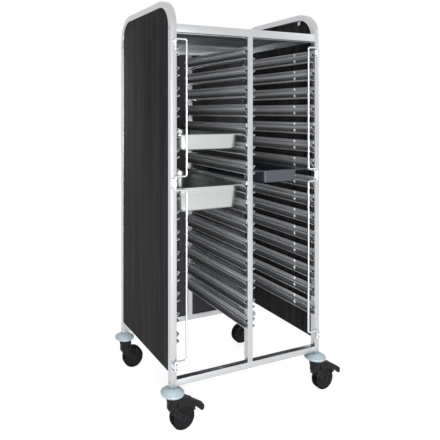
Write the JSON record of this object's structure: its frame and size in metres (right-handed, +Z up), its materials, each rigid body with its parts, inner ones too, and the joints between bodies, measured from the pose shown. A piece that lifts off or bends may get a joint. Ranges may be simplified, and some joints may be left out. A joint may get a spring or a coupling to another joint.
{
  "type": "tray trolley",
  "caption": "Tall two-bay tray trolley: square-tube frame, dark side and back panels, folded runners, guard rods, swivel casters and open gastronorm pans.",
  "frame": {"origin": "on the floor, under the middle of the frame, midway between the four caster stems", "axes": "+Z up, -Y out of the open front where pans go in, +X to the right for someone who faces the front"},
  "size_m": [0.902, 0.619, 1.7],
  "materials": {
    "satin_stainless": "satin stainless tube and sheet",
    "bright_stainless": "bright rolled stainless",
    "black_laminate": "black wood-grain laminate board",
    "pan_stainless": "deep-drawn satin stainless",
    "dark_enamel": "dark blue-grey enamel on steel",
    "grey_bumper_plastic": "pale blue-grey soft plastic",
    "black_nylon": "black moulded nylon",
    "dark_wheel_plastic": "dark grey moulded wheel",
    "black_tyre_rubber": "black rubber tyre",
    "zinc_steel": "zinc plated"
  },
  "bodies": {
    "frame": {"left_side_hoop": "satin_stainless", "right_side_hoop": "satin_stainless", "front_top_rail": "satin_stainless", "back_top_rail": "satin_stainless", "front_bottom_rail": "satin_stainless", "back_bottom_rail": "satin_stainless", "front_centre_post": "satin_stainless", "back_centre_post": "satin_stainless", "frame_bolts": "bright_stainless", "left_side_panel": "black_laminate", "right_side_panel": "black_laminate", "left_back_panel": "black_laminate", "right_back_panel": "black_laminate", "panel_clips": "satin_stainless", "top_sheet": "satin_stainless", "left_outer_runners": "bright_stainless", "left_inner_runners": "bright_stainless", "right_inner_runners": "bright_stainless", "right_outer_runners": "bright_stainless", "guard_brackets": "bright_stainless", "front_left_caster_stem": "zinc_steel", "front_left_caster_bumper": "grey_bumper_plastic", "front_right_caster_stem": "zinc_steel", "front_right_caster_bumper": "grey_bumper_plastic", "back_left_caster_stem": "zinc_steel", "back_left_caster_bumper": "grey_bumper_plastic", "back_right_caster_stem": "zinc_steel", "back_right_caster_bumper": "grey_bumper_plastic"},
    "front_left_swivel": {"front_left_caster_housing": "black_nylon", "front_left_axle": "zinc_steel"},
    "front_left_roller": {"front_left_wheel": "dark_wheel_plastic", "front_left_tyre": "black_tyre_rubber"},
    "front_left_pedal": {"front_left_brake_pedal": "black_nylon"},
    "front_right_swivel": {"front_right_caster_housing": "black_nylon", "front_right_axle": "zinc_steel"},
    "front_right_roller": {"front_right_wheel": "dark_wheel_plastic", "front_right_tyre": "black_tyre_rubber"},
    "front_right_pedal": {"front_right_brake_pedal": "black_nylon"},
    "back_left_swivel": {"back_left_caster_housing": "black_nylon", "back_left_axle": "zinc_steel"},
    "back_left_roller": {"back_left_wheel": "dark_wheel_plastic", "back_left_tyre": "black_tyre_rubber"},
    "back_right_swivel": {"back_right_caster_housing": "black_nylon", "back_right_axle": "zinc_steel"},
    "back_right_roller": {"back_right_wheel": "dark_wheel_plastic", "back_right_tyre": "black_tyre_rubber"},
    "left_guard": {"left_guard_rod": "bright_stainless"},
    "right_guard": {"right_guard_rod": "bright_stainless"},
    "left_shallow_pan_body": {"left_shallow_pan": "pan_stainless"},
    "left_deep_pan_body": {"left_deep_pan": "pan_stainless"},
    "right_shallow_pan_body": {"right_shallow_pan": "dark_enamel"}
  },
  "joints": [
    {"name": "front_left_swivel_turn", "type": "hinge", "parent": "frame", "child": "front_left_swivel", "pos_m": [-0.3575, -0.2625, 0.1415], "axis": [0, 0, 1], "continuous": true},
    {"name": "front_left_wheel_spin", "type": "hinge", "parent": "front_left_swivel", "child": "front_left_roller", "pos_m": [-0.3155, -0.2625, 0.05], "axis": [0, 1, 0], "continuous": true},
    {"name": "front_left_brake_press", "type": "hinge", "parent": "front_left_swivel", "child": "front_left_pedal", "pos_m": [-0.2775, -0.2625, 0.102], "axis": [0, 1, 0], "range_deg": [0, 10]},
    {"name": "front_right_swivel_turn", "type": "hinge", "parent": "frame", "child": "front_right_swivel", "pos_m": [0.3575, -0.2625, 0.1415], "axis": [0, 0, 1], "continuous": true},
    {"name": "front_right_wheel_spin", "type": "hinge", "parent": "front_right_swivel", "child": "front_right_roller", "pos_m": [0.3995, -0.2625, 0.05], "axis": [0, 1, 0], "continuous": true},
    {"name": "front_right_brake_press", "type": "hinge", "parent": "front_right_swivel", "child": "front_right_pedal", "pos_m": [0.4375, -0.2625, 0.102], "axis": [0, 1, 0], "range_deg": [0, 10]},
    {"name": "back_left_swivel_turn", "type": "hinge", "parent": "frame", "child": "back_left_swivel", "pos_m": [-0.3575, 0.2625, 0.1415], "axis": [0, 0, 1], "continuous": true},
    {"name": "back_left_wheel_spin", "type": "hinge", "parent": "back_left_swivel", "child": "back_left_roller", "pos_m": [-0.3155, 0.2625, 0.05], "axis": [0, 1, 0], "continuous": true},
    {"name": "back_right_swivel_turn", "type": "hinge", "parent": "frame", "child": "back_right_swivel", "pos_m": [0.3575, 0.2625, 0.1415], "axis": [0, 0, 1], "continuous": true},
    {"name": "back_right_wheel_spin", "type": "hinge", "parent": "back_right_swivel", "child": "back_right_roller", "pos_m": [0.3155, 0.2625, 0.05], "axis": [0, 1, 0], "continuous": true},
    {"name": "left_guard_turn", "type": "hinge", "parent": "frame", "child": "left_guard", "pos_m": [-0.353, -0.281, 0.275], "axis": [0, 0, -1], "range_deg": [0, 180]},
    {"name": "right_guard_turn", "type": "hinge", "parent": "frame", "child": "right_guard", "pos_m": [0.353, -0.281, 0.275], "axis": [0, 0, 1], "range_deg": [0, 180]},
    {"name": "left_shallow_pan_slide", "type": "slide", "parent": "frame", "child": "left_shallow_pan_body", "axis": [0, -1, 0], "range_m": [-0.0027, 0.0117]},
    {"name": "left_deep_pan_slide", "type": "slide", "parent": "frame", "child": "left_deep_pan_body", "axis": [0, -1, 0], "range_m": [-0.0027, 0.0117]},
    {"name": "right_shallow_pan_slide", "type": "slide", "parent": "frame", "child": "right_shallow_pan_body", "axis": [0, -1, 0], "range_m": [-0.0027, 0.0117]}
  ]
}
